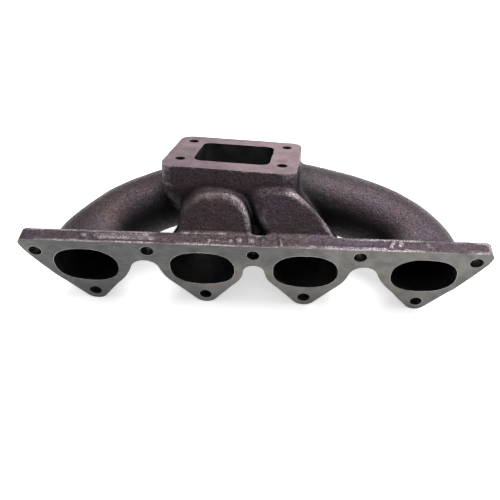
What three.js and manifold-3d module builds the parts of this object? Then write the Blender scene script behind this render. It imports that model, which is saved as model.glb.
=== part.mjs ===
// A cast-iron exhaust manifold for a four-cylinder engine with a turbocharger.
//
// Millimetres. The origin is a point of the gasket face, midway between the two middle ports.
// The gasket face is the plane y = 0. +X runs along the cylinder head, +Y points away from the
// head and +Z is up. The real object is one casting with machined faces and drilled holes. Each
// region of it is a mesh of its own here, with a narrow gap where it meets its neighbours.

import * as THREE from "three";
import { mergeVertices } from "three/addons/utils/BufferGeometryUtils.js";
import Module from "manifold-3d";

const wasm = await Module();
wasm.setup();

// ---- Driving dimensions ----

const GAP = 0.3; // between two regions that meet
const OVERRUN = 2; // how far a cutting solid passes the face that it opens

// Head flange.
const FLANGE_THICKNESS = 12.7; // a half-inch plate
const FLANGE_HALF_LENGTH = 183;
const FLANGE_TOP = 19.4;
const FLANGE_CORNER_RADIUS = 5;

// Studs: M8 in clearance holes.
const STUD_HOLE_RADIUS = 5.1;
const LOWER_STUD_Z = -42;
const LOWER_LOBE_RADIUS = 10.4;
const INNER_STUD_X = 41.1;
const OUTER_STUD_X = 134.3;
const NUT_ROOM_RADIUS = 7.5; // kept free behind the flange for a nut and its washer
const NUT_ROOM_LENGTH = 14;
const UPPER_STUDS = [
  [-171.5, 6.2],
  [-82.6, 10.1],
  [0, 8.8],
  [82.4, 10.8],
  [171.2, 8.8],
];

// Ports: ovals with a flattened top and bottom.
const PORT_Z = -9.2;
const PORT_HALF_WIDTH = 25.7;
const PORT_HALF_HEIGHT = 19.1;
const PORT_SQUARENESS = 2.35; // exponent of the superellipse
const PORT_X = [-OUTER_STUD_X, -INNER_STUD_X, INNER_STUD_X, OUTER_STUD_X];
const STUDS = [...UPPER_STUDS, ...PORT_X.map((x) => [x, LOWER_STUD_Z])];

// Runners.
const WALL = 5.2;
const NECK_LENGTH = 34; // over which the oval neck turns into a round tube
const RUNNER_START = FLANGE_THICKNESS + GAP;

// Turbo flange: a four-bolt turbine inlet. The face is tilted away from the head and turned a
// little about the vertical, and every size below is measured in the face's own axes.
const FACE_CENTRE = new THREE.Vector3(-19.6, 88.3, 38);
const FACE_TILT = THREE.MathUtils.degToRad(21.5);
const FACE_TURN = THREE.MathUtils.degToRad(-4);
const PAD_HALF_WIDTH = 54;
const PAD_FRONT = -44.5;
const PAD_BACK = 40.2;
const PAD_CORNER_RADIUS = 11;
const PAD_THICKNESS = 16;
const INLET_HALF_WIDTH = 31;
const INLET_FRONT = -26.8;
const INLET_BACK = 22.8;
const INLET_CORNER_RADIUS = 7.5;
const TURBO_BOLT_X = 41.25;
const TURBO_BOLT_Y = 24.75;
const TAP_DRILL_RADIUS = 4.25; // for an M10 thread

// Collector: the box under the turbo flange, closed below by a rounded bowl.
const BOX_OUTSIDE = {
  topHalfWidth: 53.7,
  lowHalfWidth: 44,
  topHalfDepth: 42,
  lowHalfDepth: 36.5,
  topSquareness: 7,
  top: PAD_THICKNESS + GAP,
  taperStart: 24,
  taperEnd: 60,
  end: 91,
};
const BOX_INSIDE = {
  topHalfWidth: INLET_HALF_WIDTH,
  lowHalfWidth: 37,
  topHalfDepth: (INLET_BACK - INLET_FRONT) / 2,
  lowHalfDepth: 30,
  topSquareness: 6,
  top: PAD_THICKNESS - OVERRUN,
  taperStart: PAD_THICKNESS,
  taperEnd: 50,
  end: 85,
};
const BOX_TOP_Y = (PAD_FRONT + PAD_BACK) / 2;
const BOX_LEAN = 0.3; // how far the box drifts back for each millimetre down
const BOX_LOW_SQUARENESS = 2.4;
const BOWL_START = 50; // depth below the face
const BOWL_CLOSING = 0.97; // how much of the bowl's quarter ellipse is used before it is flat
const SPLIT_DEPTH = 40; // where the throat ends and the bowl begins
const STANDING_Z = LOWER_STUD_Z - LOWER_LOBE_RADIUS; // the lower lobes and the bowl stand on it
const REACH = 400; // longer than the whole object

// Facets.
const HOLE_SIDES = 16;
const TUBE_SIDES = 24;
const TUBE_STEPS = 12;
const BOX_SIDES = 32;
const CURVE_STEPS = 6;

// Surfaces.
const castIron = { color: 0x4a4045, roughness: 0.85, metalness: 0.35 };
const machinedFace = { color: 0xa8959a, roughness: 0.5, metalness: 0.75 };
const groundFace = { color: 0x7d7772, roughness: 0.45, metalness: 0.8 };

// ---- Solids ----

// A closed three.js geometry as a solid that can be joined and cut.
function solidOf(geometry) {
  const bare = geometry.clone();
  bare.deleteAttribute("uv");
  bare.deleteAttribute("normal");
  const merged = mergeVertices(bare, 1e-4);
  const mesh = new wasm.Mesh({
    numProp: 3,
    vertProperties: new Float32Array(merged.attributes.position.array),
    triVerts: new Uint32Array(merged.index.array),
  });
  return new wasm.Manifold(mesh);
}

function geometryOf(solid) {
  const mesh = solid.getMesh();
  const geometry = new THREE.BufferGeometry();
  geometry.setAttribute("position", new THREE.BufferAttribute(mesh.vertProperties, 3));
  geometry.setIndex(new THREE.BufferAttribute(mesh.triVerts, 1));
  geometry.computeVertexNormals();
  return geometry;
}

function joined(solids) {
  return solids.reduce((whole, next) => whole.add(next));
}

// A shape drawn in X and Z, given a thickness along Y from one plane to another.
function plateAcross(shape, fromY, toY) {
  const settings = { depth: toY - fromY, bevelEnabled: false, curveSegments: CURVE_STEPS };
  const geometry = new THREE.ExtrudeGeometry(shape, settings);
  geometry.rotateX(Math.PI / 2);
  geometry.translate(0, toY, 0);
  return geometry;
}

// A round hole or pin along Y.
function rodAlongY(radius, fromY, toY, x, z) {
  const geometry = new THREE.CylinderGeometry(radius, radius, toY - fromY, HOLE_SIDES);
  geometry.translate(x, (fromY + toY) / 2, z);
  return geometry;
}

// A power that keeps the sign, and takes rounding noise for nothing.
function signedPower(value, power) {
  return Math.abs(value) < 1e-9 ? 0 : Math.sign(value) * Math.abs(value) ** power;
}

// The point of a unit superellipse in a given direction. Exponent 2 is a circle, and larger
// exponents are squarer.
function superellipsePoint(angle, exponent) {
  const power = 2 / exponent;
  return [signedPower(Math.cos(angle), power), signedPower(Math.sin(angle), power)];
}

// Moves the vertices of a unit cylinder: place(along, angle, reach) gives the new point for a
// vertex at a fraction along the axis, a direction round it and a reach of 0 or 1 from it.
function bentCylinder(sides, steps, place) {
  const geometry = new THREE.CylinderGeometry(1, 1, 1, sides, steps);
  const position = geometry.attributes.position;
  for (let i = 0; i < position.count; i += 1) {
    const x = position.getX(i);
    const z = position.getZ(i);
    const reach = Math.min(1, Math.round(Math.hypot(x, z)));
    const point = place(position.getY(i) + 0.5, Math.atan2(z, x), reach);
    position.setXYZ(i, point.x, point.y, point.z);
  }
  return geometry;
}

// ---- Runners ----

// Each runner leaves its port square to the gasket face and bends to the collector on a Bezier
// curve: its second control point is straight ahead of the port at the given y, and the third and
// the last are given whole. The radii are those outside.
const RUNNERS = [
  { name: "runner_1", port: PORT_X[0], aheadY: 40, turn: [-113, 68, -6], end: [-45, 82, 3] },
  { name: "runner_2", port: PORT_X[1], aheadY: 26, turn: [-34, 42, 4], end: [-27, 70, 21] },
  { name: "runner_3", port: PORT_X[2], aheadY: 26, turn: [24, 43, 4], end: [-3, 71, 21] },
  { name: "runner_4", port: PORT_X[3], aheadY: 48, turn: [99, 74, -5], end: [7, 83, 4] },
];
const NECK_RADIUS = { runner_1: 25.5, runner_2: 27.5, runner_3: 27, runner_4: 28 };
const END_RADIUS = { runner_1: 25.5, runner_2: 23, runner_3: 23, runner_4: 26.5 };

// The two middle runners each have a hood: a wide rounded tunnel behind the flange, cut off in
// front by a slope that rises from the flange's top edge. It leans sideways as it goes back.
const HOODS = {
  runner_2: { footX: -31, lean: 0, halfWidth: 30, halfHeight: 31 },
  runner_3: { footX: 37, lean: -0.85, halfWidth: 27, halfHeight: 35 },
};
const HOOD_Z = 9;
const HOOD_SQUARENESS = 2.7;
const HOOD_SLOPE = THREE.MathUtils.degToRad(45);
const HOOD_BACK = 52;

function runnerPath(runner, startY) {
  const start = new THREE.Vector3(runner.port, startY, PORT_Z);
  const mouth = new THREE.Vector3(runner.port, RUNNER_START, PORT_Z);
  const ahead = new THREE.Vector3(runner.port, runner.aheadY, PORT_Z);
  const turn = new THREE.Vector3(...runner.turn);
  const end = new THREE.Vector3(...runner.end);
  const path = new THREE.CurvePath();
  path.add(new THREE.LineCurve3(start, mouth));
  path.add(new THREE.CubicBezierCurve3(mouth, ahead, turn, end));
  return path;
}

// A runner swept along its path from startY. Its section turns from the port's oval into a circle
// past the flange, and reaches a given distance beyond the port's edge: the wall for the outside,
// nothing for the gas passage.
function sweptRunner(runner, startY, beyondPort) {
  const path = runnerPath(runner, startY);
  const length = path.getLength();
  const lead = RUNNER_START - startY;
  const neckRadius = NECK_RADIUS[runner.name] - WALL + beyondPort;
  const endRadius = END_RADIUS[runner.name] - WALL + beyondPort;
  return bentCylinder(TUBE_SIDES, TUBE_STEPS, (along, angle, reach) => {
    const centre = path.getPointAt(along);
    const forward = path.getTangentAt(along);
    const side = new THREE.Vector3().crossVectors(forward, new THREE.Vector3(0, 0, 1)).normalize();
    const up = new THREE.Vector3().crossVectors(side, forward);
    const pastFlange = Math.max(0, along * length - lead);
    const round = THREE.MathUtils.smoothstep(pastFlange, 0, NECK_LENGTH);
    const radius = THREE.MathUtils.lerp(neckRadius, endRadius, along);
    const halfWidth = THREE.MathUtils.lerp(PORT_HALF_WIDTH + beyondPort, radius, round);
    const halfHeight = THREE.MathUtils.lerp(PORT_HALF_HEIGHT + beyondPort, radius, round);
    const exponent = THREE.MathUtils.lerp(PORT_SQUARENESS, 2, round);
    const [across, above] = superellipsePoint(angle, exponent);
    return centre
      .clone()
      .addScaledVector(side, reach * halfWidth * across)
      .addScaledVector(up, reach * halfHeight * above);
  });
}

// Everything over the slope in front of the hoods. beyond is the wall for the outer slope and
// nothing for the inner one.
function overSlope(beyond) {
  const geometry = new THREE.BoxGeometry(REACH, REACH, REACH);
  geometry.translate(0, 0, REACH / 2 + beyond - WALL);
  geometry.rotateX(HOOD_SLOPE);
  geometry.translate(0, FLANGE_THICKNESS, FLANGE_TOP);
  return solidOf(geometry);
}

function hoodSolid(hood, beyond) {
  const stretch = Math.hypot(1, hood.lean);
  const halfWidth = hood.halfWidth + (beyond - WALL) * stretch;
  const halfHeight = hood.halfHeight + beyond - WALL;
  const points = [];
  for (let i = 0; i < TUBE_SIDES; i += 1) {
    const [across, above] = superellipsePoint((i / TUBE_SIDES) * 2 * Math.PI, HOOD_SQUARENESS);
    points.push(new THREE.Vector2(halfWidth * across, HOOD_Z + halfHeight * above));
  }
  const front = RUNNER_START + OVERRUN - beyond;
  const back = HOOD_BACK + beyond - WALL;
  const tunnel = plateAcross(new THREE.Shape(points), front, back);
  const lean = new THREE.Matrix4().makeShear(0, 0, hood.lean, 0, 0, 0);
  tunnel.translate(0, -FLANGE_THICKNESS, 0);
  tunnel.applyMatrix4(lean);
  tunnel.translate(hood.footX, FLANGE_THICKNESS, 0);
  return solidOf(tunnel).subtract(overSlope(beyond));
}

// A runner with its hood, if it has one.
function wholeRunner(runner, startY, beyond) {
  const tube = solidOf(sweptRunner(runner, startY, beyond));
  const hood = HOODS[runner.name];
  return hood ? tube.add(hoodSolid(hood, beyond)) : tube;
}

// ---- Head flange ----

// Half of the flange's outline, from the middle of its top edge round to the middle of the notch
// between the two middle ports: end corner, outer lobe, notch, inner lobe.
function flangeHalfOutline() {
  const half = new THREE.Path();
  const notchRadius = 11.5;
  const notchX = 87;
  const notchZ = -13;
  const middleNotchRadius = 8.3;
  const middleNotchZ = -12.1;
  half.moveTo(0, FLANGE_TOP);
  half.lineTo(FLANGE_HALF_LENGTH - FLANGE_CORNER_RADIUS, FLANGE_TOP);
  half.absarc(
    FLANGE_HALF_LENGTH - FLANGE_CORNER_RADIUS, FLANGE_TOP - FLANGE_CORNER_RADIUS,
    FLANGE_CORNER_RADIUS, Math.PI / 2, 0, true,
  );
  half.quadraticCurveTo(FLANGE_HALF_LENGTH, 8, 165.6, -18.4);
  half.absarc(OUTER_STUD_X, LOWER_STUD_Z, LOWER_LOBE_RADIUS, -0.64, -2.46, true);
  half.lineTo(105.5, -22.4);
  half.quadraticCurveTo(100, -15.5, 98.1, -10);
  half.absarc(notchX, notchZ, notchRadius, 0.26, Math.PI - 0.26, false);
  half.quadraticCurveTo(74, -18, 68.5, -25.2);
  half.absarc(INNER_STUD_X, LOWER_STUD_Z, LOWER_LOBE_RADIUS, -0.68, -2.47, true);
  half.lineTo(14, -24.6);
  half.quadraticCurveTo(9.3, -18.6, 8.3, middleNotchZ);
  half.absarc(0, middleNotchZ, middleNotchRadius, 0, Math.PI / 2, false);
  return half.getPoints(CURVE_STEPS);
}

function headFlange() {
  const half = flangeHalfOutline();
  const mirrored = half
    .slice(1, -1)
    .reverse()
    .map((point) => new THREE.Vector2(-point.x, point.y));
  const outline = new THREE.Shape([...half, ...mirrored]);
  const drills = STUDS.map(([x, z]) =>
    solidOf(rodAlongY(STUD_HOLE_RADIUS, -OVERRUN, FLANGE_THICKNESS + OVERRUN, x, z)),
  );
  return solidOf(plateAcross(outline, 0, FLANGE_THICKNESS)).subtract(joined(drills));
}

// The room for the nuts behind the flange, with so much more all round it.
function nutRoom(more) {
  const back = FLANGE_THICKNESS + NUT_ROOM_LENGTH + more;
  const rods = STUDS.map(([x, z]) =>
    solidOf(rodAlongY(NUT_ROOM_RADIUS + more, FLANGE_THICKNESS, back, x, z)),
  );
  return joined(rods);
}

// ---- Turbo flange and collector, in the axes of the turbo face ----

function onFace(geometry) {
  const turn = new THREE.Matrix4().makeRotationZ(FACE_TURN);
  const tilt = new THREE.Matrix4().makeRotationX(-FACE_TILT);
  const place = new THREE.Matrix4().makeTranslation(FACE_CENTRE);
  geometry.applyMatrix4(tilt);
  geometry.applyMatrix4(turn);
  geometry.applyMatrix4(place);
  return geometry;
}

function roundedRectangle(halfWidth, front, back, radius) {
  const shape = new THREE.Shape();
  const quarter = Math.PI / 2;
  shape.absarc(halfWidth - radius, back - radius, radius, 0, quarter, false);
  shape.absarc(-halfWidth + radius, back - radius, radius, quarter, 2 * quarter, false);
  shape.absarc(-halfWidth + radius, front + radius, radius, 2 * quarter, 3 * quarter, false);
  shape.absarc(halfWidth - radius, front + radius, radius, 3 * quarter, 4 * quarter, false);
  return shape;
}

// A prism on a rounded rectangle between two depths below the turbo face.
function prismBelowFace(shape, topDepth, bottomDepth) {
  const settings = {
    depth: bottomDepth - topDepth,
    bevelEnabled: false,
    curveSegments: CURVE_STEPS,
  };
  const geometry = new THREE.ExtrudeGeometry(shape, settings);
  geometry.translate(0, 0, -bottomDepth);
  return onFace(geometry);
}

function padSolid(grow) {
  const shape = roundedRectangle(
    PAD_HALF_WIDTH + grow, PAD_FRONT - grow, PAD_BACK + grow, PAD_CORNER_RADIUS + grow,
  );
  return solidOf(prismBelowFace(shape, 0, PAD_THICKNESS + grow));
}

function inletSolid() {
  const shape = roundedRectangle(INLET_HALF_WIDTH, INLET_FRONT, INLET_BACK, INLET_CORNER_RADIUS);
  return solidOf(prismBelowFace(shape, -OVERRUN, PAD_THICKNESS + OVERRUN));
}

function turboBoltHoles() {
  const drills = [];
  for (const x of [-TURBO_BOLT_X, TURBO_BOLT_X]) {
    for (const y of [-TURBO_BOLT_Y, TURBO_BOLT_Y]) {
      const length = PAD_THICKNESS + 2 * OVERRUN;
      const drill = new THREE.CylinderGeometry(
        TAP_DRILL_RADIUS, TAP_DRILL_RADIUS, length, HOLE_SIDES,
      );
      drill.rotateX(Math.PI / 2);
      drill.translate(x, y, -PAD_THICKNESS / 2);
      drills.push(solidOf(onFace(drill)));
    }
  }
  return joined(drills);
}

// The collector's box at any depth below the face. It narrows and grows rounder downwards, and
// below BOWL_START its sections shrink as those of an ellipsoid do.
function boxSolid(size, grow) {
  const end = size.end + grow;
  const geometry = bentCylinder(BOX_SIDES, TUBE_STEPS, (along, angle, reach) => {
    const depth = THREE.MathUtils.lerp(size.top - grow, end, Math.sin((along * Math.PI) / 2));
    const fall = THREE.MathUtils.clamp((depth - BOWL_START) / (end - BOWL_START), 0, 1);
    const closing = Math.sqrt(1 - (BOWL_CLOSING * fall) ** 2);
    const down = THREE.MathUtils.smoothstep(depth, size.taperStart, size.taperEnd);
    const halfWidth = THREE.MathUtils.lerp(size.topHalfWidth, size.lowHalfWidth, down) + grow;
    const halfDepth = THREE.MathUtils.lerp(size.topHalfDepth, size.lowHalfDepth, down) + grow;
    const exponent = THREE.MathUtils.lerp(size.topSquareness, BOX_LOW_SQUARENESS, down);
    const drift = BOX_TOP_Y + BOX_LEAN * Math.max(0, depth - PAD_THICKNESS);
    const [across, back] = superellipsePoint(angle, exponent);
    return new THREE.Vector3(
      reach * closing * halfWidth * across,
      drift + reach * closing * halfDepth * back,
      -depth,
    );
  });
  return solidOf(onFace(geometry));
}

// Everything from one depth below the face to another.
function slabBelowFace(topDepth, bottomDepth) {
  const geometry = new THREE.BoxGeometry(REACH, REACH, bottomDepth - topDepth);
  geometry.translate(0, 0, -(topDepth + bottomDepth) / 2);
  return solidOf(onFace(geometry));
}

// Everything in front of the plane where the runners start.
function inFrontOfRunners() {
  const geometry = new THREE.BoxGeometry(REACH, REACH, REACH);
  geometry.translate(0, RUNNER_START - REACH / 2, 0);
  return solidOf(geometry);
}

// Everything below the plane that the manifold stands on.
function underStandingPlane() {
  const geometry = new THREE.BoxGeometry(REACH, REACH, REACH);
  geometry.translate(0, 0, STANDING_Z - REACH / 2);
  return solidOf(geometry);
}

// ---- Assembly ----

// The whole gas space: four passages, the collector's inside and the turbo inlet. The room for the
// nuts and the wall round it are taken from it, and any pocket that this cuts off is left solid.
const gasBodies = joined([
  ...RUNNERS.map((runner) => wholeRunner(runner, -OVERRUN, 0)),
  boxSolid(BOX_INSIDE, 0),
  inletSolid(),
])
  .subtract(nutRoom(WALL))
  .decompose();
const gasSpace = gasBodies.reduce((largest, body) =>
  body.volume() > largest.volume() ? body : largest,
);

const collector = boxSolid(BOX_OUTSIDE, 0).subtract(gasSpace).subtract(underStandingPlane());
const throatSide = slabBelowFace(0, SPLIT_DEPTH - GAP / 2);
const bowlSide = slabBelowFace(SPLIT_DEPTH + GAP / 2, REACH);
const roomForCollector = boxSolid(BOX_OUTSIDE, GAP).add(padSolid(GAP));

const takenFromRunners = joined([inFrontOfRunners(), nutRoom(0), roomForCollector, gasSpace]);

// The two middle runners grow together. They are divided by a plane that stands on the flange
// between their hoods and turns towards the collector.
const DIVIDE_X = 4.5;
const DIVIDE_TURN = THREE.MathUtils.degToRad(23);

// Everything on one side of that plane: -1 for the side of runner_2 and 1 for that of runner_3.
function besideDivide(side) {
  const geometry = new THREE.BoxGeometry(REACH, REACH, REACH);
  geometry.translate((side * (REACH + GAP)) / 2, 0, 0);
  geometry.rotateZ(DIVIDE_TURN);
  geometry.translate(DIVIDE_X, FLANGE_THICKNESS, 0);
  return solidOf(geometry);
}

const [outerLeft, innerLeft, innerRight, outerRight] = RUNNERS.map((runner) =>
  wholeRunner(runner, 0, WALL),
);
const roomForOuterPair = joined(
  [RUNNERS[0], RUNNERS[3]].map((runner) => wholeRunner(runner, 0, WALL + GAP)),
);
const innerPair = innerLeft.add(innerRight).subtract(roomForOuterPair);
const runnerSolids = {
  runner_1: outerLeft,
  runner_2: innerPair.intersect(besideDivide(-1)),
  runner_3: innerPair.intersect(besideDivide(1)),
  runner_4: outerRight,
};

const manifold = new THREE.Group();

function addRegion(name, solid, surface) {
  const mesh = new THREE.Mesh(geometryOf(solid), new THREE.MeshStandardMaterial(surface));
  mesh.name = name;
  manifold.add(mesh);
}

addRegion("head_flange", headFlange().subtract(gasSpace), groundFace);
for (const [name, solid] of Object.entries(runnerSolids)) {
  addRegion(name, solid.subtract(takenFromRunners), castIron);
}
addRegion("collector_throat", collector.intersect(throatSide), castIron);
addRegion("collector_bowl", collector.intersect(bowlSide), castIron);
addRegion("turbo_flange", padSolid(0).subtract(gasSpace).subtract(turboBoltHoles()), machinedFace);

export default manifold;
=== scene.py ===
"""The looks of a cast-iron exhaust manifold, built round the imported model.

The casting is made as a foundry and a machine shop make it. First its skin and its gas space are
worked out as distance fields, with fillets and a slightly uneven surface, and turned into one
fine mesh. Then the two faces are milled flat and the holes are drilled. Last, the casting is
divided into the same regions as the CAD nodes, and each region is a closed piece of its own.

Lengths are millimetres, in the frame of the CAD, until a mesh is made: that is in metres.
"""

import math

import bmesh
import bpy
import numpy as np
import openvdb
from mathutils import Matrix, Vector


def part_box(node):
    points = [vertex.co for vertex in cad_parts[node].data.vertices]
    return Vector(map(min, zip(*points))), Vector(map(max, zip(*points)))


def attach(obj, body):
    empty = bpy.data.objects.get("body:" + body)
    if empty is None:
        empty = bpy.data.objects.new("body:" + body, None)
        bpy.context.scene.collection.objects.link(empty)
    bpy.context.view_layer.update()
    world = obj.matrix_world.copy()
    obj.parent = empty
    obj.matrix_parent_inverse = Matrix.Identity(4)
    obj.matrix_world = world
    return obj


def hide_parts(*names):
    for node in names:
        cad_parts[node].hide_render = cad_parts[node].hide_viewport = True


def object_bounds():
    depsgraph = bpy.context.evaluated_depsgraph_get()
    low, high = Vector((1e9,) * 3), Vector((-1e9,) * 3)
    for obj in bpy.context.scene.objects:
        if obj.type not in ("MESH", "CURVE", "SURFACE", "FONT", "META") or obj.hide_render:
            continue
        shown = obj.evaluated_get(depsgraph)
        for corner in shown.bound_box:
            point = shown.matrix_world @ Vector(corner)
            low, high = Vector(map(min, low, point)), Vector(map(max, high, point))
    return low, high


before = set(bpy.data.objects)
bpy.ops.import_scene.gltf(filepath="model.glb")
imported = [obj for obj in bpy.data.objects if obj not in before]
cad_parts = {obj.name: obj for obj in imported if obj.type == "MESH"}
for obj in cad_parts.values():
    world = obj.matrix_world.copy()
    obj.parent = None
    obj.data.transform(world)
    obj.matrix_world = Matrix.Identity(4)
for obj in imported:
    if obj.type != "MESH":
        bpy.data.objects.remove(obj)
cad_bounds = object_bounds()

MM = 0.001

# ---- Sizes of the design ----

# Head flange: the gasket face is the plane y = 0.
FLANGE_THICKNESS = 12.7
FLANGE_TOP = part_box("head_flange")[1][2] / MM
STANDING_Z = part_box("head_flange")[0][2] / MM
PORT_Z = -9.2
PORT_HALF_WIDTH = 25.7
PORT_HALF_HEIGHT = 19.1
PORT_SQUARENESS = 2.35
NUT_ROOM_RADIUS = 7.5
NUT_ROOM_LENGTH = 14.0
NECK_LENGTH = 34.0  # over which a runner turns from its port's shape to a round tube
LEAD_START = -8.0  # where a runner's line starts, in front of the gasket face
LEAD_END = 12.5
MOUTH = 13.0  # where its bend starts, just behind the flange
WALL = 5.2

# Turbo flange: its face is tilted away from the head and turned a little.
FACE_CENTRE = Vector((-19.6, 88.3, 38.0))
FACE_TILT = math.radians(-21.5)
FACE_TURN = math.radians(-4)
FACE = (
    Matrix.Translation(FACE_CENTRE)
    @ Matrix.Rotation(FACE_TURN, 4, "Z")
    @ Matrix.Rotation(FACE_TILT, 4, "X")
)
PAD_HALF_WIDTH = 54.0
PAD_FRONT = -44.5
PAD_BACK = 40.2
PAD_CORNER = 11.0
PAD_THICKNESS = 16.0
INLET_HALF_WIDTH = 31.0
INLET_FRONT = -26.8
INLET_BACK = 22.8
INLET_CORNER = 7.5
INLET_OVERLAP = 4.0  # of the straight inlet and the collector's inside
TURBO_BOLT = (41.25, 24.75)
TAP_RADIUS = 4.25

# Collector, by depth below the turbo face: its half width and half depth lower down, the depths
# between which it changes from the flange's outline to them, and the depth of the bowl's bottom.
BOX_OUTSIDE = {"low": (44.0, 36.5), "taper": (24.0, 60.0), "end": 91.0}
BOX_INSIDE = {"low": (37.0, 30.0), "taper": (16.0, 50.0), "end": 85.0}
BOX_LEAN = 0.3  # how far it moves back for each millimetre down
BOX_LOW_SQUARENESS = 2.4
BOWL_START = 50.0

# Runners: the port's x, the y of the first control point straight behind it, the second control
# point, the line's end, and the radii at the neck and at the end.
RUNNERS = [
    {"port": -134.3, "ahead": 40, "turn": (-113, 68, -6), "end": (-45, 82, 3), "radii": (25.5, 25.5)},
    {"port": -41.1, "ahead": 26, "turn": (-34, 42, 4), "end": (-27, 70, 21), "radii": (27.5, 23)},
    {"port": 41.1, "ahead": 26, "turn": (24, 43, 4), "end": (-3, 71, 21), "radii": (27, 23)},
    {"port": 134.3, "ahead": 48, "turn": (99, 74, -5), "end": (7, 83, 4), "radii": (28, 26.5)},
]

# Hoods of the two middle runners: wide tunnels, cut off in front by a slope that rises from the
# flange's top edge. The right one leans to the left as it goes back.
HOODS = [
    {"foot": -31.0, "lean": 0.0, "half_width": 30.0, "half_height": 31.0},
    {"foot": 37.0, "lean": -0.85, "half_width": 27.0, "half_height": 35.0},
]
HOOD_Z = 9.0
HOOD_SQUARENESS = 2.7
HOOD_SLOPE = math.radians(45)
HOOD_BACK = 52.0
HOOD_SINK = 2.0  # how far its skin goes into the flange

# Planes between the regions. Those round the collector go through points given by half width and
# y in the turbo face's axes, at the face and further down.
HALF_GAP = 0.15  # half of the gap between the CAD nodes
COLLECTOR_TOP = (54.6, -45.0)
COLLECTOR_LOW = (45.0, -40.0)
COLLECTOR_DEPTH = 60.0
SPLIT_DEPTH = 40.0  # below the turbo face, between the throat and the bowl
DIVIDE_X = 4.5  # of the plane between the two middle runners, at the flange's back
DIVIDE_TURN = math.radians(23)

# Foundry and machine shop.
MILLING = 1.2  # metal left for milling on the gasket face
TURBO_MILLING = 2.2
FLANGE_FILLET = 3.0
COLLECTOR_FILLET = 5.0
HOOD_FILLET = 3.0
HOOD_EDGE = 3.5
INNER_FILLET = 6.0
CAST_EDGE = 1.3  # rounding of the edges that aren't machined
SHRINK = 0.1  # of the skin all round
VOXEL = 1.0

# Unevenness, as the size of the bumps, their height and a seed.
SKIN_BUMPS = [(9.0, 0.18, 1), (3.5, 0.1, 2)]
PASSAGE_BUMPS = [(8.0, 0.2, 3)]

# Raised marks on the flange's top edge, of no meaning: middle, half sizes, slant and height. The
# first is a plain low pad where a foundry would cast its marks.
MARKS = [
    {"x": -95, "y": 6.3, "half": (29, 3.2), "slant": 0.0, "height": 0.45},
    {"x": -131, "y": 6.0, "half": (2.2, 1.8), "slant": 0.2, "height": 0.7},
    {"x": -17, "y": 5.2, "half": (1.3, 1.6), "slant": 0.0, "height": 0.8},
    {"x": -11, "y": 6.4, "half": (2.4, 2.4), "slant": 0.7, "height": 1.0},
    {"x": -2, "y": 6.0, "half": (2.2, 2.2), "slant": 0.4, "height": 0.7},
    {"x": 8, "y": 6.4, "half": (2.2, 2.2), "slant": 0.6, "height": 0.8},
    {"x": 21, "y": 5.0, "half": (0.9, 5.0), "slant": 0.1, "height": 1.0},
    {"x": 106, "y": 6.5, "half": (1.2, 3.4), "slant": -0.5, "height": 0.8},
    {"x": 112, "y": 6.5, "half": (1.2, 3.0), "slant": -0.6, "height": 0.7},
    {"x": 134, "y": 6.2, "half": (1.2, 3.2), "slant": 0.6, "height": 0.8},
    {"x": -40, "y": 11.4, "half": (19, 0.8), "slant": 0.02, "height": 0.7},
    {"x": -22, "y": 4.5, "half": (13, 0.7), "slant": -0.04, "height": 0.5},
    {"x": 42, "y": 11.4, "half": (12, 0.8), "slant": -0.03, "height": 0.7},
    {"x": 72, "y": 2.6, "half": (30, 0.9), "slant": 0.0, "height": 0.4},
    {"x": -148, "y": 10.8, "half": (16, 0.8), "slant": 0.01, "height": 0.4},
]
MARK_SINK = 1.0
MARK_EDGE = 0.4
MARK_FILLET = 0.8

# ---- Distance fields on a grid ----

GRID_LOW = np.array((-188.0, -6.0, -57.0))
GRID_HIGH = np.array((188.0, 134.0, 60.0))
GRID_SHAPE = tuple(int(n) for n in np.ceil((GRID_HIGH - GRID_LOW) / VOXEL))
FAR = 60.0

# The part of the grid that the collector needs.
COLLECTOR_ROOM = ((-100.0, 10.0, -57.0), (60.0, 134.0, 60.0))


def grid_axes():
    return [GRID_LOW[a] + VOXEL * np.arange(GRID_SHAPE[a], dtype=np.float32) for a in range(3)]


def grid_points(low, high):
    """The part of the grid inside a box: its slices, its shape and its points."""
    slices = []
    for a in range(3):
        first = max(0, int((low[a] - GRID_LOW[a]) / VOXEL))
        last = min(GRID_SHAPE[a], int((high[a] - GRID_LOW[a]) / VOXEL) + 2)
        slices.append(slice(first, last))
    axes = [axis[s] for axis, s in zip(grid_axes(), slices)]
    mesh = np.meshgrid(*axes, indexing="ij")
    points = np.stack([m.ravel() for m in mesh], axis=1).astype(np.float32)
    return tuple(slices), mesh[0].shape, points


def blend_in(field, slices, shape, distance, fillet):
    """Adds a shape to part of a field, with a fillet where they meet."""
    part = distance.reshape(shape).astype(np.float32)
    field[slices] = smooth_min(field[slices], part, fillet)


def smooth_min(a, b, fillet):
    """The union of two fields, with a fillet where they meet."""
    blend = np.maximum(fillet - np.abs(a - b), 0) / fillet
    return np.minimum(a, b) - blend * blend * fillet / 4


def smoothstep(x, low, high):
    t = np.clip((x - low) / (high - low), 0, 1)
    return t * t * (3 - 2 * t)


def superellipse_distance(u, v, half_u, half_v, exponent):
    """Distance to a superellipse, to first order: the value less one over its slope."""
    u, v = np.abs(u) + 1e-3, np.abs(v) + 1e-3
    value = ((u / half_u) ** exponent + (v / half_v) ** exponent) ** (1 / exponent)
    slope_u = (u / half_u) ** (exponent - 1) / half_u
    slope_v = (v / half_v) ** (exponent - 1) / half_v
    slope = value ** (1 - exponent) * np.sqrt(slope_u**2 + slope_v**2)
    return (value - 1) / slope


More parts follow.
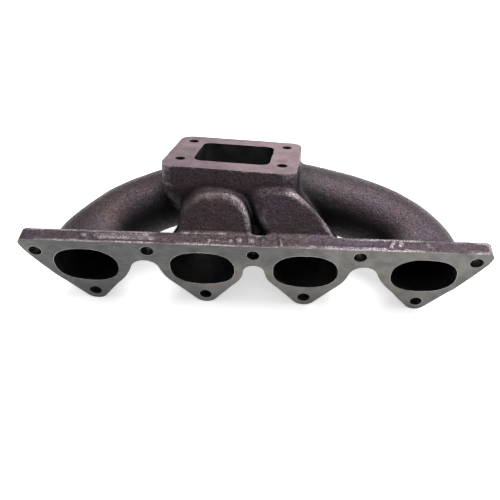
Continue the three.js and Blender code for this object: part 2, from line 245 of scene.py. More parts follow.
def runner_line(runner, lead_samples=14, bend_samples=120):
    """Points, directions and lengths along a runner's centreline, and the length at its mouth."""
    lead = np.array([(runner["port"], y, PORT_Z) for y in np.linspace(LEAD_START, LEAD_END, lead_samples)])
    mouth = np.array((runner["port"], MOUTH, PORT_Z))
    ahead = np.array((runner["port"], runner["ahead"], PORT_Z))
    turn, end = np.array(runner["turn"]), np.array(runner["end"])
    t = np.linspace(0, 1, bend_samples)[:, None]
    near = (1 - t) ** 3 * mouth + 3 * (1 - t) ** 2 * t * ahead
    bend = near + 3 * (1 - t) * t**2 * turn + t**3 * end
    line = np.vstack([lead, bend])
    forward = np.gradient(line, axis=0)
    forward /= np.linalg.norm(forward, axis=1)[:, None]
    steps = np.linalg.norm(np.diff(line, axis=0), axis=1)
    length = np.concatenate([[0], np.cumsum(steps)])
    return line, forward, length, length[len(lead)]


def tube_field(field, runner, inset, fillet):
    """Adds a runner to a field. inset is 0 for the outside and the wall for the passage."""
    line, forward, length, mouth_length = runner_line(runner)
    side = np.cross(forward, (0, 0, 1))
    side /= np.linalg.norm(side, axis=1)[:, None]
    up = np.cross(side, forward)
    along = length / length[-1]
    radius = runner["radii"][0] + (runner["radii"][1] - runner["radii"][0]) * along - inset
    round_part = smoothstep(length - mouth_length, 0, NECK_LENGTH)
    port_width = PORT_HALF_WIDTH + WALL - inset
    port_height = PORT_HALF_HEIGHT + WALL - inset
    half_width = port_width + round_part * (radius - port_width)
    half_height = port_height + round_part * (radius - port_height)
    exponent = PORT_SQUARENESS + round_part * (2 - PORT_SQUARENESS)
    reach = max(runner["radii"]) + PORT_HALF_WIDTH / 2
    slices, shape, points = grid_points(line.min(axis=0) - reach, line.max(axis=0) + reach)
    centres = line.astype(np.float32)
    nearest = np.empty(len(points), dtype=np.int32)
    chunk = 200000
    squares = (centres**2).sum(axis=1)
    for first in range(0, len(points), chunk):
        part = points[first : first + chunk]
        nearest[first : first + chunk] = np.argmin(squares - 2 * part @ centres.T, axis=1)
    offset = points - centres[nearest]
    u = (offset * side[nearest]).sum(axis=1)
    v = (offset * up[nearest]).sum(axis=1)
    past = (offset * forward[nearest]).sum(axis=1)
    distance = superellipse_distance(u, v, half_width[nearest], half_height[nearest], exponent[nearest])
    at_end = nearest == len(centres) - 1
    distance = np.where(at_end, np.maximum(distance, past), distance)
    blend_in(field, slices, shape, distance, fillet)


def hood_field(field, hood, inset, fillet):
    """Adds a hood to a field. inset is 0 for the outside and the wall for the inside."""
    room, reach_left, reach_right = 8, 95, 50
    reach_up = hood["half_height"] + room
    low = (hood["foot"] - reach_left, FLANGE_THICKNESS / 2, HOOD_Z - reach_up)
    high = (hood["foot"] + reach_right, HOOD_BACK + room, HOOD_Z + reach_up)
    slices, shape, points = grid_points(low, high)
    back = points[:, 1] - FLANGE_THICKNESS
    squeeze = 1 / math.hypot(1, hood["lean"])
    u = (points[:, 0] - hood["foot"] - hood["lean"] * back) * squeeze
    half_width = hood["half_width"] * squeeze - inset
    half_height = hood["half_height"] - inset
    tunnel = superellipse_distance(u, points[:, 2] - HOOD_Z, half_width, half_height, HOOD_SQUARENESS)
    rise = points[:, 2] - FLANGE_TOP
    slope = rise * math.cos(HOOD_SLOPE) - back * math.sin(HOOD_SLOPE) + inset
    ends = np.maximum(-back - (HOOD_SINK - inset), points[:, 1] - HOOD_BACK + inset)
    distance = np.maximum(-smooth_min(-tunnel, -slope, HOOD_EDGE), ends)
    blend_in(field, slices, shape, distance, fillet)


def mark_field(field, mark):
    """Adds a raised mark to the flange's top edge."""
    room = 4
    reach = max(mark["half"]) + room
    low = (mark["x"] - reach, -room, FLANGE_TOP - room)
    high = (mark["x"] + reach, FLANGE_THICKNESS + room, FLANGE_TOP + room)
    slices, shape, points = grid_points(low, high)
    dx, dy = points[:, 0] - mark["x"], points[:, 1] - mark["y"]
    turn, lift = math.cos(mark["slant"]), math.sin(mark["slant"])
    u, v = dx * turn + dy * lift, dy * turn - dx * lift
    half_u, half_v = mark["half"]
    corner = 0.6 * min(half_u, half_v)
    flat = rounded_rectangle(u, v, half_u, -half_v, half_v, corner)
    level = points[:, 2] - (FLANGE_TOP - MARK_SINK)
    distance = rounded_prism(flat, -MARK_SINK, mark["height"] + MARK_SINK, level, MARK_EDGE)
    blend_in(field, slices, shape, distance, MARK_FILLET)


def in_face_axes(points):
    """Points in the axes of the turbo face, with the depth below it as the third number."""
    inverse = np.array(FACE.inverted())
    local = points @ inverse[:3, :3].T.astype(np.float32) + inverse[:3, 3].astype(np.float32)
    return local[:, 0], local[:, 1], -local[:, 2]


def rounded_prism(flat, low, high, level, radius):
    """A flat distance given a thickness between two levels, with rounded edges."""
    across = flat + radius
    along = np.abs(level - (low + high) / 2) - (high - low) / 2 + radius
    inside = np.minimum(np.maximum(across, along), 0)
    return inside + np.hypot(np.maximum(across, 0), np.maximum(along, 0)) - radius


def rounded_rectangle(x, y, half_width, front, back, corner):
    """Distance to a rectangle with rounded corners, centred on x = 0."""
    qx = np.abs(x) - half_width + corner
    qy = np.abs(y - (front + back) / 2) - (back - front) / 2 + corner
    inside = np.minimum(np.maximum(qx, qy), 0)
    return inside + np.hypot(np.maximum(qx, 0), np.maximum(qy, 0)) - corner


def box_distance(x, y, depth, size, top_outline):
    """The block at any depth: the outline of its top, then rounder, and closed below by a bowl."""
    down = smoothstep(depth, *size["taper"])
    drift = (PAD_FRONT + PAD_BACK) / 2 + BOX_LEAN * np.maximum(0, depth - PAD_THICKNESS)
    fall = np.clip((depth - BOWL_START) / (size["end"] - BOWL_START), 0, 1.3)
    least = 0.02  # keeps the outline from shrinking to a point
    closing = np.sqrt(np.maximum(1 - fall**2, least))
    half_width, half_depth = size["low"][0] * closing, size["low"][1] * closing
    low = superellipse_distance(x, y - drift, half_width, half_depth, BOX_LOW_SQUARENESS)
    steepness = fall / closing * (half_width + half_depth) / 2 / (size["end"] - BOWL_START)
    low = low / np.sqrt(1 + steepness**2)
    lag = drift - (PAD_FRONT + PAD_BACK) / 2
    top = rounded_rectangle(x, y - lag, *top_outline)
    return np.maximum(top + down * (low - top), depth - size["end"])


def polygon_distance(outline, x, z):
    """Signed distance in the plane from grid points to a closed outline."""
    nearest = np.full(x.shape, 1e9, dtype=np.float64)
    inside = np.zeros(x.shape, dtype=bool)
    for (ax, az), (bx, bz) in zip(outline, np.roll(outline, -1, axis=0)):
        ex, ez = bx - ax, bz - az
        t = np.clip(((x - ax) * ex + (z - az) * ez) / (ex * ex + ez * ez), 0, 1)
        nearest = np.minimum(nearest, (x - ax - t * ex) ** 2 + (z - az - t * ez) ** 2)
        crosses = (az > z) != (bz > z)
        with np.errstate(divide="ignore", invalid="ignore"):
            inside ^= crosses & (x < ax + (z - az) * ex / ez)
    return np.where(inside, -1, 1) * np.sqrt(nearest)


def front_loops():
    """The closed loops of edges round the head flange's front face in the CAD, longest first."""
    shape = bmesh.new()
    shape.from_mesh(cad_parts["head_flange"].data)
    bmesh.ops.remove_doubles(shape, verts=shape.verts, dist=1e-6)
    shape.normal_update()

    def is_front(face):
        return face.normal.y < -0.99 and abs(face.calc_center_median().y) < 1e-5

    follow = {}
    for edge in shape.edges:
        front = [face for face in edge.link_faces if is_front(face)]
        if len(front) == 1:
            loop = next(l for l in front[0].loops if l.edge == edge)
            start, stop = loop.vert, loop.link_loop_next.vert
            follow[start.index] = (stop.index, (start.co.x / MM, start.co.z / MM))
    shape.free()
    loops = []
    while follow:
        first = next(iter(follow))
        points = []
        at = first
        while at in follow:
            at, point = follow.pop(at)
            points.append(point)
        loops.append(np.array(points))
    return sorted(loops, key=lambda loop: -np.ptp(loop[:, 0]))


def value_noise(cell, seed):
    """Smooth random values between -1 and 1 over the grid, one for each cell of a given size."""
    random = np.random.default_rng(seed)
    counts = [int(n * VOXEL / cell) + 3 for n in GRID_SHAPE]
    values = random.uniform(-1, 1, counts).astype(np.float32)
    for a in range(3):
        position = np.arange(GRID_SHAPE[a]) * VOXEL / cell
        first = position.astype(int)
        t = (position - first).astype(np.float32)
        t = t * t * (3 - 2 * t)
        weight = t.reshape([-1 if b == a else 1 for b in range(3)])
        before, after = np.take(values, first, axis=a), np.take(values, first + 1, axis=a)
        values = before * (1 - weight) + after * weight
    return values


def uneven(bumps):
    """Smooth random values of several sizes, added up."""
    return sum(height * value_noise(cell, seed) for cell, height, seed in bumps)


def curvature_of(field):
    """How sharply the surfaces of a field bend: above 0 on ridges and below 0 in fillets."""
    reach, neighbours = 6, 6
    near = np.clip(field, -reach, reach)
    bend = -neighbours * near
    for axis in range(3):
        bend += np.roll(near, 1, axis) + np.roll(near, -1, axis)
    bend /= VOXEL**2
    for _ in range(2):
        for axis in range(3):
            bend = (np.roll(bend, 1, axis) + 2 * bend + np.roll(bend, -1, axis)) / 4
    return bend


def skin_field(outline):
    """The outside of the casting, with metal to spare on the two faces to be milled."""
    field = np.full(GRID_SHAPE, FAR, dtype=np.float32)
    x_axis, y_axis, z_axis = grid_axes()
    x, z = np.meshgrid(x_axis, z_axis, indexing="ij")
    flat = polygon_distance(outline, x, z).astype(np.float32)[:, None, :]
    level = y_axis[None, :, None]
    slab = rounded_prism(flat, -MILLING - CAST_EDGE, FLANGE_THICKNESS, level, CAST_EDGE)
    for runner in RUNNERS:
        tube_field(field, runner, 0, COLLECTOR_FILLET)
    slices, shape, points = grid_points(*COLLECTOR_ROOM)
    x_on_face, y_on_face, depth = in_face_axes(points)
    pad_outline = (PAD_HALF_WIDTH, PAD_FRONT, PAD_BACK, PAD_CORNER)
    block = box_distance(x_on_face, y_on_face, depth, BOX_OUTSIDE, pad_outline)
    block = np.maximum(block, -TURBO_MILLING - depth)
    blend_in(field, slices, shape, block, COLLECTOR_FILLET)
    for hood in HOODS:
        hood_field(field, hood, 0, HOOD_FILLET)
    field = smooth_min(field, slab.astype(np.float32), FLANGE_FILLET)
    for mark in MARKS:
        mark_field(field, mark)
    field = np.maximum(field, STANDING_Z - z_axis[None, None, :])
    field = np.maximum(field, -MILLING - y_axis[None, :, None])
    return field


def nut_room(holes, more):
    """The room for the nuts behind the flange, with so much more all round it."""
    x, y, z = grid_axes()
    room = np.full(GRID_SHAPE, FAR, dtype=np.float32)
    behind = (FLANGE_THICKNESS - y, y - FLANGE_THICKNESS - NUT_ROOM_LENGTH - more)
    ends = np.maximum(*behind)[None, :, None]
    for hole_x, hole_z, _ in holes:
        round_hole = np.hypot(x[:, None] - hole_x, z[None, :] - hole_z) - NUT_ROOM_RADIUS - more
        room = np.minimum(room, np.maximum(round_hole[:, None, :], ends))
    return room


def gas_field():
    """The inside: four passages, the collector and the turbo inlet."""
    field = np.full(GRID_SHAPE, FAR, dtype=np.float32)
    for runner in RUNNERS:
        tube_field(field, runner, WALL, INNER_FILLET)
    slices, shape, points = grid_points(*COLLECTOR_ROOM)
    x_on_face, y_on_face, depth = in_face_axes(points)
    inlet_outline = (INLET_HALF_WIDTH, INLET_FRONT, INLET_BACK, INLET_CORNER)
    box = box_distance(x_on_face, y_on_face, depth, BOX_INSIDE, inlet_outline)
    box = np.maximum(box, PAD_THICKNESS - INLET_OVERLAP - depth)
    blend_in(field, slices, shape, box, INNER_FILLET)
    for hood in HOODS:
        hood_field(field, hood, WALL, INNER_FILLET)
    flat = rounded_rectangle(x_on_face, y_on_face, *inlet_outline)
    inlet = np.maximum(flat, depth - PAD_THICKNESS - INLET_OVERLAP)
    field[slices] = np.minimum(field[slices], inlet.reshape(shape).astype(np.float32))
    return field


# ---- Meshes ----


def mesh_object(name, vertices, faces):
    """A mesh from points in millimetres and faces of equal size."""
    mesh = bpy.data.meshes.new(name)
    corners = faces.shape[1]
    mesh.vertices.add(len(vertices))
    mesh.vertices.foreach_set("co", (vertices * MM).astype(np.float32).ravel())
    mesh.loops.add(faces.size)
    mesh.loops.foreach_set("vertex_index", faces.astype(np.int32).ravel())
    mesh.polygons.add(len(faces))
    mesh.polygons.foreach_set("loop_start", np.arange(len(faces), dtype=np.int32) * corners)
    mesh.update(calc_edges=True)
    mesh.validate()
    obj = bpy.data.objects.new(name, mesh)
    bpy.context.scene.collection.objects.link(obj)
    return obj


def surface_of(field, name):
    """The surface where a field is zero, with its faces pointing out."""
    band = 3 * VOXEL
    grid = openvdb.FloatGrid(background=band)
    grid.copyFromArray(np.clip(field, -band, band).astype(np.float32))
    points, quads = grid.convertToQuads(0.0)
    points = np.asarray(points, dtype=np.float64) * VOXEL + GRID_LOW
    quads = np.asarray(quads, dtype=np.int64)
    a, b, c = points[quads[:, 0]], points[quads[:, 1]], points[quads[:, 2]]
    d = points[quads[:, 3]]
    volume = (np.cross(c - a, d - b) * (a + b + c + d)).sum()
    if volume < 0:
        quads = quads[:, ::-1]
    return mesh_object(name, points, quads)


def from_bmesh(name, shape):
    """An object made of a bmesh, which is freed."""
    mesh = bpy.data.meshes.new(name)
    shape.to_mesh(mesh)
    shape.free()
    obj = bpy.data.objects.new(name, mesh)
    bpy.context.scene.collection.objects.link(obj)
    return obj


def combine(obj, other, operation):
    """Joins or cuts obj by other and removes other."""
    modifier = obj.modifiers.new("combine", "BOOLEAN")
    modifier.object = other
    modifier.operation = operation
    modifier.solver = "MANIFOLD"
    graph = bpy.context.evaluated_depsgraph_get()
    result = bpy.data.meshes.new_from_object(obj.evaluated_get(graph))
    obj.modifiers.clear()
    old = obj.data
    obj.data = result
    bpy.data.meshes.remove(old)
    remove(other)


def remove(obj):
    mesh = obj.data
    bpy.data.objects.remove(obj)
    bpy.data.meshes.remove(mesh)


def add_cylinder(shape, radius, low, high, matrix, sides=64):
    """A cylinder along the matrix's Z axis, between two heights on it."""
    place = matrix @ Matrix.Translation((0, 0, (low + high) / 2))
    bmesh.ops.create_cone(
        shape, cap_ends=True, segments=sides, radius1=radius, radius2=radius,
        depth=high - low, matrix=Matrix.Scale(MM, 4) @ place,
    )


def add_block(shape, low, high, matrix):
    """A block between two corners in the matrix's axes."""
    size = [h - l for l, h in zip(low, high)]
    middle = [(h + l) / 2 for l, h in zip(low, high)]
    place = matrix @ Matrix.Translation(middle) @ Matrix.Diagonal((*size, 1))
    bmesh.ops.create_cube(shape, size=1, matrix=Matrix.Scale(MM, 4) @ place)


def milling_cutter():
    """What the two milling passes take away."""
    shape = bmesh.new()
    length, height, depth = 200, 80, 20
    add_block(shape, (-length, -depth, -height), (length, 0, height), Matrix.Identity(4))
    half_width, half_depth = 70, 60
    add_block(shape, (-half_width, -half_depth, 0), (half_width, half_depth, depth), FACE)
    return from_bmesh("milling", shape)


def turbo_bolts():
    """Where the turbo flange's holes are, in the axes of its face."""
    across, along = TURBO_BOLT
    return [(x, y) for x in (-across, across) for y in (-along, along)]


def drilling_cutter(holes):
    """The stud holes, and the tap drills' holes in the turbo flange."""
    shape = bmesh.new()
    along_y = Matrix.Rotation(math.radians(-90), 4, "X")
    past_face, past_back = 5, 20
    for x, z, radius in holes:
        add_cylinder(shape, radius, -past_face, past_back, Matrix.Translation((x, 0, z)) @ along_y)
    for x, y in turbo_bolts():
        place = FACE @ Matrix.Translation((x, y, 0))
        add_cylinder(shape, TAP_RADIUS, -PAD_THICKNESS, past_face, place)
    return from_bmesh("drilling", shape)


# ---- The regions ----


def plane_through(a, b, c, inside):
    """A plane as a point and a normal that points away from a point inside."""
    normal = (b - a).cross(c - a).normalized()
    if normal.dot(inside - a) > 0:
        normal = -normal
    return a, normal


def flipped(plane):
    return plane[0], -plane[1]


def region_solid(name, planes):
    """The convex solid on the inner side of every plane."""
    shape = bmesh.new()
    reach = 300
    add_block(shape, (-reach,) * 3, (reach,) * 3, Matrix.Identity(4))
    for point, normal in planes:
        geometry = shape.verts[:] + shape.edges[:] + shape.faces[:]
        cut = bmesh.ops.bisect_plane(
            shape, geom=geometry, plane_co=point * MM, plane_no=normal, clear_outer=True, dist=1e-7,
        )
        edges = [e for e in cut["geom_cut"] if isinstance(e, bmesh.types.BMEdge)]
        bmesh.ops.contextual_create(shape, geom=edges)
    bmesh.ops.recalc_face_normals(shape, faces=shape.faces)
    return from_bmesh(name, shape)


def regions():
    """The planes round each region, named after its CAD node."""
    back = FLANGE_THICKNESS + HALF_GAP
    flange_back = (Vector((0, back, 0)), Vector((0, 1, 0)))

    def on_face(x, y, depth):
        return FACE @ Vector((x, y, -depth))

    top_width, top_front = COLLECTOR_TOP
    low_width, low_front = COLLECTOR_LOW
    centre = on_face(0, 0, COLLECTOR_DEPTH / 2)
    left_top = on_face(-top_width, top_front, 0)
    left_low = on_face(-low_width, low_front, COLLECTOR_DEPTH)
    right_top = on_face(top_width, top_front, 0)
    right_low = on_face(low_width, low_front, COLLECTOR_DEPTH)
    further_back = 20
    left = plane_through(left_top, left_low, on_face(-top_width, further_back, 0), centre)
    right = plane_through(right_top, right_low, on_face(top_width, further_back, 0), centre)
    front = plane_through(left_top, left_low, right_top, centre)
    face_normal = (FACE.to_3x3() @ Vector((0, 0, 1))).normalized()
    under_pad = (on_face(0, 0, PAD_THICKNESS + HALF_GAP), face_normal)
    split = (on_face(0, 0, SPLIT_DEPTH), face_normal)
    port_1, port_2, port_3, port_4 = (Vector((r["port"], back, PORT_Z)) for r in RUNNERS)
    between_12 = plane_through(left_top, left_low, (port_1 + port_2) / 2, port_2)
    between_34 = plane_through(right_top, right_low, (port_3 + port_4) / 2, port_3)
    divide = Vector((DIVIDE_X, FLANGE_THICKNESS, 0))
    upward = Vector((0, 0, 10))
    backward = 40 * Vector((-math.sin(DIVIDE_TURN), math.cos(DIVIDE_TURN), 0))
    between_23 = plane_through(divide, divide + upward, divide + backward, port_2)
    off_flange = flipped(flange_back)
    block = [off_flange, left, right, front]
    return {
        "head_flange": [flange_back],
        "turbo_flange": [*block, flipped(under_pad)],
        "collector_throat": [*block, under_pad, flipped(split)],
        "collector_bowl": [*block, split],
        "runner_1": [off_flange, flipped(left), flipped(between_12)],
        "runner_2": [off_flange, flipped(front), between_12, between_23],
        "runner_3": [off_flange, flipped(front), between_34, flipped(between_23)],
        "runner_4": [off_flange, flipped(right), flipped(between_34)],
    }


def cast_manifold():
    """The whole casting, its gas space, its skin's curvature and its stud holes."""
    outline, *others = front_loops()
    holes = []
    for loop in others:
        width = np.ptp(loop[:, 0])
        if width < PORT_HALF_WIDTH:
            centre = (loop.min(axis=0) + loop.max(axis=0)) / 2
            holes.append((centre[0], centre[1], width / 2))
    skin = skin_field(outline)
    skin = -smooth_min(-skin, nut_room(holes, 0), CAST_EDGE)
    skin += uneven(SKIN_BUMPS) + SHRINK
    gas = np.maximum(gas_field(), -nut_room(holes, WALL))
    gas += uneven(PASSAGE_BUMPS)
    bend = curvature_of(skin)
    casting = surface_of(np.maximum(skin, -gas), "casting")
    combine(casting, milling_cutter(), "DIFFERENCE")
    combine(casting, drilling_cutter(holes), "DIFFERENCE")
    return casting, gas, bend, holes


def divided(casting):
    """The casting's regions as closed pieces."""
    pieces = {}
    for name, planes in regions().items():
        piece = bpy.data.objects.new(f"cast_{name}", casting.data.copy())
        bpy.context.scene.collection.objects.link(piece)
        combine(piece, region_solid("region", planes), "INTERSECT")
        pieces[name] = piece
    remove(casting)
    return pieces


# ---- Materials ----


class Nodes:
    """Short ways of building a material's node tree."""

    def __init__(self, name):
        self.material = bpy.data.materials.new(name)
        self.material.use_nodes = True
        self.tree = self.material.node_tree
        self.shader = self.tree.nodes["Principled BSDF"]
        self.place = self.add("ShaderNodeTexCoord").outputs["Object"]

    def add(self, kind, settings=None, **inputs):
        node = self.tree.nodes.new(kind)
        for name, value in (settings or {}).items():
            setattr(node, name, value)
        for name, value in inputs.items():
            self.put(node.inputs[name.replace("_", " ")], value)
        return node

    def put(self, socket, value):
        if isinstance(value, bpy.types.NodeSocket):
            self.tree.links.new(value, socket)
        else:
            socket.default_value = value

    def noise(self, per_metre, detail=2.0, roughness=0.5, stretch=(1, 1, 1), offset=(0, 0, 0)):
        scaled = self.add("ShaderNodeMapping", Vector=self.place, Scale=stretch, Location=offset)
        node = self.add(
            "ShaderNodeTexNoise", Vector=scaled.outputs[0],
            Scale=per_metre, Detail=detail, Roughness=roughness,
        )
        return node.outputs[0]

    def ramp(self, value, low, high, to_low=0.0, to_high=1.0):
        """The value carried smoothly from one range to another."""
        node = self.add(
            "ShaderNodeMapRange", {"interpolation_type": "SMOOTHSTEP"}, Value=value,
            From_Min=low, From_Max=high, To_Min=to_low, To_Max=to_high,
        )
        return node.outputs[0]

    def math(self, operation, a, b=0.5):
        node = self.add("ShaderNodeMath", {"operation": operation})
        self.put(node.inputs[0], a)
        self.put(node.inputs[1], b)
        return node.outputs[0]

    def mix(self, factor, a, b):
        node = self.add("ShaderNodeMix", {"data_type": "RGBA"})
        self.put(node.inputs[0], factor)
        self.put(node.inputs[6], (*a, 1) if isinstance(a, tuple) else a)
        self.put(node.inputs[7], (*b, 1) if isinstance(b, tuple) else b)
        return node.outputs[2]

    def edges(self, radius, low, high):
        """Where the surface turns sharply within a radius in millimetres: 1 on an edge."""
        rounded = self.add("ShaderNodeBevel", {"samples": 6}, Radius=radius * MM).outputs[0]
        plain = self.add("ShaderNodeNewGeometry").outputs["Normal"]
        dot = self.add("ShaderNodeVectorMath", {"operation": "DOT_PRODUCT"})
        self.tree.links.new(rounded, dot.inputs[0])
        self.tree.links.new(plain, dot.inputs[1])
        return self.ramp(self.math("SUBTRACT", 1.0, dot.outputs["Value"]), low, high)

    def openness(self, distance):
        """1 in the open and near 0 in corners and crevices, over a distance in millimetres."""
        node = self.add("ShaderNodeAmbientOcclusion", {"samples": 8}, Distance=distance * MM)
        return node.outputs["AO"]

    def bump(self, heights):
        """Bumps one over another, each a height field with a depth in millimetres."""
        normal = None
        for height, depth in heights:
            node = self.add("ShaderNodeBump", Strength=1.0, Distance=depth * MM, Height=height)
            if normal is not None:
                self.tree.links.new(normal, node.inputs["Normal"])
            normal = node.outputs[0]
        return normal

    def finish(self, **inputs):
        for name, value in inputs.items():
            self.put(self.shader.inputs[name.replace("_", " ")], value)
        return self.material


def cast_skin():
    """Sand-cast iron: dark brown-grey with a purple cast and grainy, with painted glints in flecks,
    painted highlights along ridges, and painted shade in fillets and hollows.
    """
    n = Nodes("cast_skin")
    tint = n.mix(n.ramp(n.noise(22, 3), 0.35, 0.65), (0.042, 0.024, 0.027), (0.042, 0.027, 0.040))
    olive = n.ramp(n.noise(14, 3, offset=(9, 4, 2)), 0.55, 0.70)
    tint = n.mix(n.math("MULTIPLY", olive, 0.6), tint, (0.040, 0.034, 0.029))
    rust = n.ramp(n.noise(38, 4, offset=(3, 1, 2)), 0.56, 0.72)
    tint = n.mix(n.math("MULTIPLY", rust, 0.4), tint, (0.058, 0.028, 0.026))
    grain = n.noise(650, 3, 0.65)
    tint = n.mix(n.ramp(grain, 0.34, 0.54), (0.009, 0.008, 0.009), tint)
    bend = n.add("ShaderNodeAttribute", {"attribute_name": "bend"}).outputs["Fac"]
    # Painted highlight along the skin's ridges, where its curvature is high, in patches: a lighter tone
    # with painted glints on it.
    ridge_highlight_patches = n.ramp(n.noise(30, 3, offset=(1, 8, 5)), 0.36, 0.60)
    ridge_highlight = n.math("MULTIPLY", n.ramp(bend, 0.05, 0.20), ridge_highlight_patches)
    glints = n.noise(1100, 2, 0.6, offset=(5, 5, 5))
    # Painted glints: flecks of metal in the grain, made much lighter than the iron, in patches all over
    # the skin.
    glint_flecks = n.ramp(glints, 0.62, 0.72)
    patchy = n.ramp(n.noise(45, 3, offset=(6, 2, 8)), 0.38, 0.62, 0.15, 0.5)
    tint = n.mix(n.math("MULTIPLY", glint_flecks, patchy), tint, (0.36, 0.31, 0.33))
    ridge_glints = n.math("MULTIPLY", ridge_highlight, n.ramp(glints, 0.40, 0.62))
    tint = n.mix(n.math("MULTIPLY", ridge_glints, 0.8), tint, (0.46, 0.40, 0.41))
    tint = n.mix(n.math("MULTIPLY", ridge_highlight, 0.15), tint, (0.16, 0.13, 0.14))
    # Painted shade in fillets and creases, where the skin's curvature is below 0.
    fillet = n.ramp(bend, -0.05, -0.22)
    tint = n.mix(n.math("MULTIPLY", fillet, 0.6), tint, (0.010, 0.008, 0.010))
    # Painted shade: darker where nearby surfaces hem the skin in, by ambient occlusion.
    tint = n.mix(n.ramp(n.openness(45), 0.45, 0.95), (0.003, 0.003, 0.004), tint)
    rough = n.ramp(grain, 0.3, 0.7, 0.60, 0.40)
    normal = n.bump([(n.noise(220, 3), 0.5), (grain, 0.45), (glints, 0.18)])
    return n.finish(Base_Color=tint, Roughness=rough, Metallic=0.6, Normal=normal)


def ground_face(name, dark, light, edge_highlight, marks_per_metre):
    """A face that has been milled or ground flat, with fine marks across it, a painted reflection that
    grows lighter towards +X, and a painted highlight along its edges.
    """
    n = Nodes(name)
    along = n.add("ShaderNodeSeparateXYZ", Vector=n.place).outputs["X"]
    # Random tone, with a painted reflection that grows lighter towards +X.
    tone_and_reflection = n.math("ADD", n.noise(13, 3), n.ramp(along, -0.12, 0.12, -0.10, 0.10))
    tint = n.mix(n.ramp(tone_and_reflection, 0.38, 0.62), dark, light)
    clouds = n.ramp(n.noise(70, 5, 0.6, offset=(2, 7, 1)), 0.42, 0.70)
    tint = n.mix(n.math("MULTIPLY", clouds, 0.45), tint, tuple(0.55 * c for c in dark))
    spots = n.ramp(n.noise(330, 2, 0.5, offset=(4, 1, 6)), 0.66, 0.74)
    tint = n.mix(n.math("MULTIPLY", spots, 0.5), tint, tuple(0.25 * c for c in dark))
    marks = n.noise(marks_per_metre, 2, 0.5, stretch=(0.08, 1, 1))
    tint = n.mix(n.ramp(marks, 0.4, 0.7, 0.0, 0.22), tint, tuple(1.2 * c for c in light))
    # Painted highlight along the face's edges, in patches.
    edge = n.math("MULTIPLY", n.edges(0.8, 0.02, 0.12), n.ramp(n.noise(60, 3), 0.36, 0.60))
    tint = n.mix(edge, tint, edge_highlight)
    rough = n.ramp(n.noise(120, 4), 0.3, 0.7, 0.42, 0.60)
    normal = n.bump([(marks, 0.02), (n.noise(700, 3), 0.05)])
    return n.finish(Base_Color=tint, Roughness=rough, Metallic=0.75, Normal=normal)


def soot():
    """The inside of the passages: as cast, and black."""
    n = Nodes("soot")
    tint = n.mix(n.ramp(n.noise(70, 4), 0.4, 0.7), (0.002, 0.002, 0.003), (0.010, 0.010, 0.012))
    normal = n.bump([(n.noise(300, 3), 0.5)])
    return n.finish(Base_Color=tint, Roughness=0.55, Normal=normal, Specular_IOR_Level=0.25)


def drilled():
    """Walls of the drilled holes: dark, cut metal."""
    n = Nodes("drilled")
    tint = n.mix(n.ramp(n.noise(500, 3), 0.4, 0.7), (0.006, 0.005, 0.005), (0.05, 0.045, 0.04))
    return n.finish(Base_Color=tint, Roughness=0.5, Metallic=0.5)


def gasket_face():
    # The third colour is the painted highlight along the face's edges.
    dark, light, edge = (0.066, 0.068, 0.068), (0.125, 0.118, 0.110), (0.58, 0.56, 0.52)
    return ground_face("gasket_face", dark, light, edge, marks_per_metre=900)


def turbo_face():
    # The third colour is the painted highlight along the face's edges.
    dark, light, edge = (0.125, 0.082, 0.094), (0.205, 0.134, 0.152), (0.42, 0.33, 0.36)
    return ground_face("turbo_face", dark, light, edge, marks_per_metre=1100)


SKIN, GASKET, TURBO, SOOT, DRILLED = range(5)
MATERIALS = [cast_skin(), gasket_face(), turbo_face(), soot(), drilled()]
ON_FACE = 0.05  # how near a machined face its triangles lie
FACING = 0.98  # cosine of how far they may turn from it
IN_HOLE = 0.1
SOOT_REACH = 1.2 * VOXEL


def numbers_of(items, name, width):
    """A property of a mesh's vertices or faces, as an array with so many numbers for each."""
    numbers = np.empty(len(items) * width, dtype=np.float32)
    items.foreach_get(name, numbers)
    return numbers.reshape(-1, width)


def nearest_values(field, points):
    """A field's values at the grid points that are nearest to given points."""
    cells = np.round((points - GRID_LOW) / VOXEL).astype(int)
    cells = np.clip(cells, 0, np.array(GRID_SHAPE) - 1)
    return field[cells[:, 0], cells[:, 1], cells[:, 2]]


def surface_kinds(piece, gas, holes):
    """Gives every face its material, from where it lies."""
    mesh = piece.data
    centres = numbers_of(mesh.polygons, "center", 3) / MM
    normals = numbers_of(mesh.polygons, "normal", 3)
    kinds = np.where(nearest_values(gas, centres) < SOOT_REACH, SOOT, SKIN)
    on_gasket = (np.abs(centres[:, 1]) < ON_FACE) & (normals[:, 1] < -FACING)
    x, y, depth = in_face_axes(centres)
    up = np.array(FACE.to_3x3() @ Vector((0, 0, 1)))
    on_turbo = (np.abs(depth) < ON_FACE) & (normals @ up > FACING)
    in_hole = np.zeros(len(kinds), dtype=bool)
    for hole_x, hole_z, radius in holes:
        from_axis = np.hypot(centres[:, 0] - hole_x, centres[:, 2] - hole_z)
        in_hole |= (from_axis < radius + IN_HOLE) & (centres[:, 1] < FLANGE_THICKNESS + 1)
    for bolt_x, bolt_y in turbo_bolts():
        from_axis = np.hypot(x - bolt_x, y - bolt_y)
        in_hole |= (from_axis < TAP_RADIUS + IN_HOLE) & (depth < PAD_THICKNESS + 1)
    kinds[in_hole] = DRILLED
    kinds[on_gasket] = GASKET
    kinds[on_turbo] = TURBO
    mesh.materials.clear()
    for material in MATERIALS:
        mesh.materials.append(material)
    mesh.polygons.foreach_set("material_index", kinds.astype(np.int32))


def store_bend(piece, bend):
    """Keeps the skin's curvature on the mesh, for the materials."""
    mesh = piece.data
    values = nearest_values(bend, numbers_of(mesh.vertices, "co", 3) / MM)
    attribute = mesh.attributes.new("bend", "FLOAT", "POINT")
    attribute.data.foreach_set("value", values.astype(np.float32))


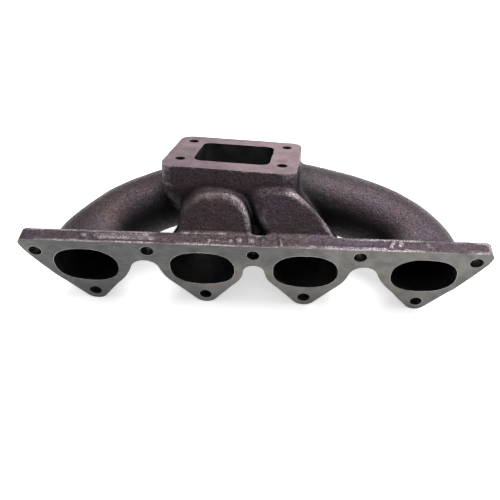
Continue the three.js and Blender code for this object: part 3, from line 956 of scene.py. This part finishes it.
casting, gas, bend, holes = cast_manifold()
pieces = divided(casting)
for node, piece in pieces.items():
    mesh = piece.data
    surface_kinds(piece, gas, holes)
    store_bend(piece, bend)
    mesh.polygons.foreach_set("use_smooth", np.ones(len(mesh.polygons), dtype=bool))
    mesh.set_sharp_from_angle(angle=math.radians(38))
    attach(piece, "root")
    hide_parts(node)

# ---- Floor, light and camera, in metres and watts ----

FLOOR_REACH = 4
FLOOR_GLOW = 0.6
SKY_UP = (0.15, 0.45, 0.88)  # where the sky is brightest
CAMERA_PLACE = (0.0259, -0.2877, 0.3411)
CAMERA_DOWN = 47.75  # degrees below level
CAMERA_TURN = 2.55  # degrees to the left
CAMERA_LENS = 41.02
CAMERA_SHIFT = (-0.04, -0.014)


def pale_floor():
    """A white floor that glows a little, so that it hardly shows."""
    shape = bmesh.new()
    bmesh.ops.create_grid(shape, x_segments=1, y_segments=1, size=FLOOR_REACH)
    floor = from_bmesh("floor", shape)
    floor.location.z = cad_bounds[0].z
    n = Nodes("floor")
    paper = n.mix(n.ramp(n.noise(3, 2), 0.3, 0.7, 0.86, 0.90), (0, 0, 0), (1, 1, 1))
    finish = n.finish(
        Base_Color=paper, Roughness=0.9, Specular_IOR_Level=0.0,
        Emission_Color=(1, 1, 1, 1), Emission_Strength=FLOOR_GLOW,
    )
    floor.data.materials.append(finish)


def studio_light():
    """Soft light from above and behind, and a darker room in front."""
    world = bpy.data.worlds.new("studio")
    bpy.context.scene.world = world
    world.use_nodes = True
    tree = world.node_tree
    background = tree.nodes["Background"]
    direction = tree.nodes.new("ShaderNodeTexCoord").outputs["Generated"]
    height = tree.nodes.new("ShaderNodeVectorMath")
    height.operation = "DOT_PRODUCT"
    height.inputs[1].default_value = SKY_UP
    tree.links.new(direction, height.inputs[0])
    ramp = tree.nodes.new("ShaderNodeMapRange")
    ramp.interpolation_type = "SMOOTHSTEP"
    for name, number in (("From Min", -0.1), ("From Max", 0.9), ("To Min", 0.0), ("To Max", 0.85)):
        ramp.inputs[name].default_value = number
    tree.links.new(height.outputs["Value"], ramp.inputs["Value"])
    tree.links.new(ramp.outputs[0], background.inputs["Strength"])
    background.inputs["Color"].default_value = (1, 1, 1, 1)
    aim = (0, 0.05, 0)
    area_light("overhead", (0.15, 0.40, 1.2), aim, size=0.9, power=22)
    area_light("right_rim", (0.9, 0.30, 0.8), aim, size=0.3, power=9)


def area_light(name, place, aim, size, power):
    """A square light at a place, turned towards a point."""
    data = bpy.data.lights.new(name, "AREA")
    data.size = size
    data.energy = power
    light = bpy.data.objects.new(name, data)
    light.location = place
    light.rotation_euler = (Vector(aim) - Vector(place)).to_track_quat("-Z", "Y").to_euler()
    bpy.context.scene.collection.objects.link(light)


def front_camera():
    """A camera in front of the head flange and above it."""
    data = bpy.data.cameras.new("camera")
    data.sensor_width = 36
    data.lens = CAMERA_LENS
    data.shift_x, data.shift_y = CAMERA_SHIFT
    camera = bpy.data.objects.new("camera", data)
    camera.location = CAMERA_PLACE
    camera.rotation_euler = (math.radians(90 - CAMERA_DOWN), 0, math.radians(CAMERA_TURN))
    bpy.context.scene.collection.objects.link(camera)
    bpy.context.scene.camera = camera


pale_floor()
studio_light()
front_camera()
bpy.context.scene.view_settings.view_transform = "Standard"
